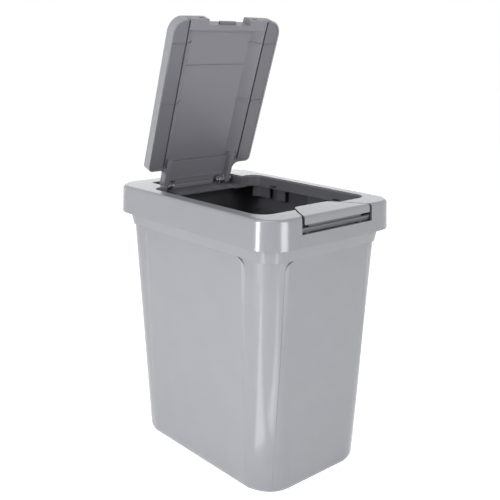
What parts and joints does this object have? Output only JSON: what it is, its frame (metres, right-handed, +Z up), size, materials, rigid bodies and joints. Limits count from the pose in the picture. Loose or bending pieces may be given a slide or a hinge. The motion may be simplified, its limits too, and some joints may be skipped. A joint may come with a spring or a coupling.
{
  "type": "push top countertop bin",
  "caption": "Rounded rectangular countertop bin with a collar, a sprung lid that opens at the back and a push bar that lets it go.",
  "frame": {"origin": "middle of the footprint at counter level, under the middle of the collar", "axes": "+Z up, -Y is the short side with the push bar, +Y the side with the lid hinge; the lid is stored open, as in the picture"},
  "size_m": [0.1908, 0.2736, 0.4998],
  "materials": {
    "body_plastic": "gloss",
    "collar_plastic": "gloss",
    "lid_plastic": "gloss",
    "bar_plastic": "gloss",
    "dark_plastic": "satin",
    "liner_plastic": "satin",
    "catch_plastic": "satin",
    "screw_steel": "zinc plated",
    "pin_steel": "bright",
    "rod_steel": "bright",
    "clip_steel": "bright",
    "spring_steel": "bright",
    "pad_rubber": "matte"
  },
  "bodies": {
    "bin": {"bin_body": "body_plastic"},
    "collar": {"collar": "collar_plastic", "inner_frame": "dark_plastic", "frame_screws": "screw_steel", "lid_rest_pads": "pad_rubber", "bar_pivot_rod": "rod_steel", "bar_rod_clips": "clip_steel", "lid_spring_left": "spring_steel", "lid_spring_right": "spring_steel", "bar_spring_left": "spring_steel", "bar_spring_right": "spring_steel"},
    "lid": {"lid_cover": "lid_plastic", "lid_liner": "liner_plastic", "lid_catch": "catch_plastic", "hinge_pin_left": "pin_steel", "hinge_pin_right": "pin_steel"},
    "push_bar": {"push_bar": "bar_plastic"}
  },
  "joints": [
    {"name": "collar_lift_off", "type": "slide", "parent": "bin", "child": "collar", "axis": [0, 0, 1], "range_m": [0, 0.045]},
    {"name": "lid_hinge", "type": "hinge", "parent": "collar", "child": "lid", "pos_m": [0, 0.1015, 0.3048], "axis": [1, 0, 0], "range_deg": [0, 71.5], "stiffness_Nm_per_rad": 0.12, "springref_deg": -57.3, "deforming": ["lid_spring_left", "lid_spring_right", "lid_catch"]},
    {"name": "push_bar_press", "type": "hinge", "parent": "collar", "child": "push_bar", "pos_m": [0, -0.1065, 0.294], "axis": [1, 0, 0], "range_deg": [0, 7], "stiffness_Nm_per_rad": 0.4, "springref_deg": -17.19, "deforming": ["bar_spring_left", "bar_spring_right"]}
  ]
}
